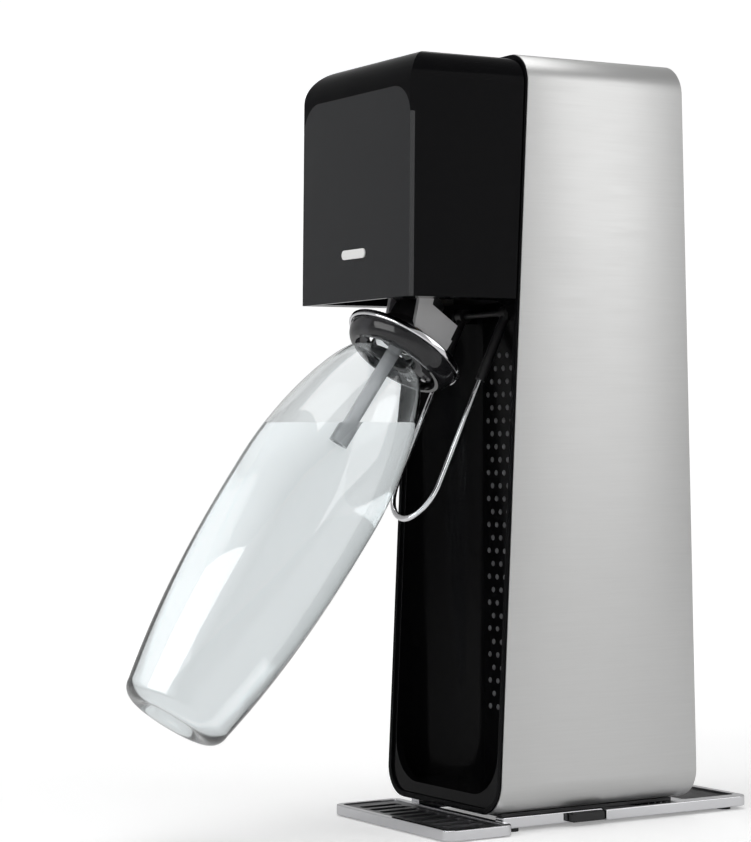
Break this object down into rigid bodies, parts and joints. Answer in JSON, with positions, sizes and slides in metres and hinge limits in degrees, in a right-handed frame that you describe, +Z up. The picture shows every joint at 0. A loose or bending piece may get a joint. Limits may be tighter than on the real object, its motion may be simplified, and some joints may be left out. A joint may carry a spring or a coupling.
{
  "type": "soda carbonator",
  "caption": "Slim counter-top soda carbonator: metal band body, press-down head, forward-tilting snap-lock holder with a bottle, wire cradle, drip tray and a pull-off rear cover.",
  "frame": {"origin": "on the worktop under the feet, midway across the body and midway through the depth of its foot", "axes": "+Z up, front faces -Y, +X to the right when looking along +Y at the front"},
  "size_m": [0.123, 0.3699, 0.43],
  "materials": {
    "band_metal": "fine brushed sheet",
    "gloss_black": "piano black moulding",
    "panel_gloss": "charcoal mirror gloss",
    "badge_white": "plain raised bar",
    "frame_plastic": "structural moulding",
    "black_matte": "fine matt grain",
    "foot_rubber": "soft",
    "base_chrome": "polished",
    "wire_chrome": "polished",
    "pin_steel": "ground",
    "spring_steel": "drawn wire",
    "cylinder_paint": "satin lacquer",
    "brass": "machined",
    "cast_alloy": "cast and machined",
    "copper_pipe": "bare drawn tube",
    "bush_nylon": "natural nylon",
    "bracket_silver": "silver lacquer",
    "tube_grey": "translucent grey",
    "smoke_plastic": "smoked, polished",
    "jaw_plastic": "acetal",
    "bottle_clear": "clear, polished",
    "grille_grey": "satin"
  },
  "bodies": {
    "body": {"wrap_shell": "band_metal", "front_trim": "gloss_black", "pocket_fascia": "gloss_black", "chassis_left": "frame_plastic", "chassis_right": "frame_plastic", "base_deck": "frame_plastic", "cylinder_clamp": "frame_plastic", "valve_deck": "frame_plastic", "front_bulkhead": "frame_plastic", "rod_shelf": "frame_plastic", "pedestal": "black_matte", "base_frame": "base_chrome", "rear_inlay": "black_matte", "hinge_blocks": "black_matte", "rubber_feet": "foot_rubber", "chassis_screws": "pin_steel", "gas_cylinder": "cylinder_paint", "cylinder_valve": "brass", "valve_block": "cast_alloy", "relief_valve": "brass", "gas_pipe": "copper_pipe", "gas_union": "brass", "lever_bracket": "cast_alloy", "lever_pin": "pin_steel", "pivot_yoke": "frame_plastic", "pivot_pin": "pin_steel", "guide_rods": "pin_steel", "cover_catch": "frame_plastic", "cradle_lugs": "frame_plastic", "cradle_axle": "pin_steel", "return_springs": "spring_steel"},
    "press_head": {"press_housing": "gloss_black", "front_panel": "panel_gloss", "head_badge": "badge_white", "press_lug": "frame_plastic", "guide_bushes": "bush_nylon", "housing_screws": "pin_steel"},
    "lever": {"actuator_lever": "pin_steel", "lever_roller": "bush_nylon"},
    "plunger": {"valve_plunger": "pin_steel"},
    "holder": {"holder_bracket": "bracket_silver", "holder_cap": "black_matte", "nozzle_block": "black_matte", "carbonating_tube": "tube_grey", "nozzle_seal": "foot_rubber", "snap_collar": "smoke_plastic", "collar_rim": "wire_chrome", "jaw_pins": "pin_steel"},
    "left_jaw": {"jaw_left": "jaw_plastic"},
    "right_jaw": {"jaw_right": "jaw_plastic"},
    "cradle": {"cradle_sleeves": "black_matte", "wire_cradle": "wire_chrome"},
    "water_bottle": {"bottle": "bottle_clear"},
    "drip_tray": {"tray_frame": "base_chrome", "tray_pan": "black_matte", "tray_grille": "grille_grey"},
    "back_cover": {"rear_cover": "black_matte", "button_spring": "spring_steel"},
    "release_button": {"cover_button": "black_matte"}
  },
  "joints": [
    {"name": "head_press", "type": "slide", "parent": "body", "child": "press_head", "axis": [0, 0, -1], "range_m": [0, 0.006], "stiffness_N_per_m": 1500, "springref_m": -0.01, "deforming": ["return_springs"]},
    {"name": "lever_turn", "type": "hinge", "parent": "body", "child": "lever", "pos_m": [0, 0.0435, 0.401], "axis": [1, 0, 0], "range_deg": [0, 4.4]},
    {"name": "plunger_slide", "type": "slide", "parent": "body", "child": "plunger", "axis": [0, 0, -1], "range_m": [0, 0.002]},
    {"name": "holder_tilt", "type": "hinge", "parent": "body", "child": "holder", "pos_m": [0, -0.0845, 0.3018], "axis": [1, 0, 0], "range_deg": [0, 35.5]},
    {"name": "jaw_left_turn", "type": "hinge", "parent": "holder", "child": "left_jaw", "pos_m": [-0.007, -0.08139, 0.25106], "axis": [0, 0.5807, 0.8141], "range_deg": [0, 6.2]},
    {"name": "jaw_right_turn", "type": "hinge", "parent": "holder", "child": "right_jaw", "pos_m": [0.007, -0.08139, 0.25106], "axis": [0, 0.5807, 0.8141], "range_deg": [-6.2, 0]},
    {"name": "cradle_swing", "type": "hinge", "parent": "body", "child": "cradle", "pos_m": [0, -0.0365, 0.2873], "axis": [1, 0, 0], "range_deg": [0, 29.1]},
    {"name": "bottle_seat", "type": "slide", "parent": "holder", "child": "water_bottle", "axis": [0, -0.5807, -0.8141], "range_m": [0, 0.002]},
    {"name": "tray_pull", "type": "slide", "parent": "body", "child": "drip_tray", "axis": [0, -1, 0], "range_m": [0, 0.05]},
    {"name": "cover_pull", "type": "slide", "parent": "body", "child": "back_cover", "axis": [0, 1, 0], "range_m": [0, 0.06]},
    {"name": "button_press", "type": "slide", "parent": "back_cover", "child": "release_button", "axis": [0, 0, -1], "range_m": [0, 0.003], "stiffness_N_per_m": 400, "springref_m": -0.003, "deforming": ["button_spring"]}
  ],
  "couplings": [
    {"joint": "lever_turn", "follows": "head_press", "rad_per_m": 12.5},
    {"joint": "plunger_slide", "follows": "head_press", "ratio": 0.325},
    {"joint": "jaw_left_turn", "follows": "holder_tilt", "ratio": 0.16901},
    {"joint": "jaw_right_turn", "follows": "holder_tilt", "ratio": -0.16901},
    {"joint": "cradle_swing", "follows": "holder_tilt", "ratio": 0.8169}
  ]
}
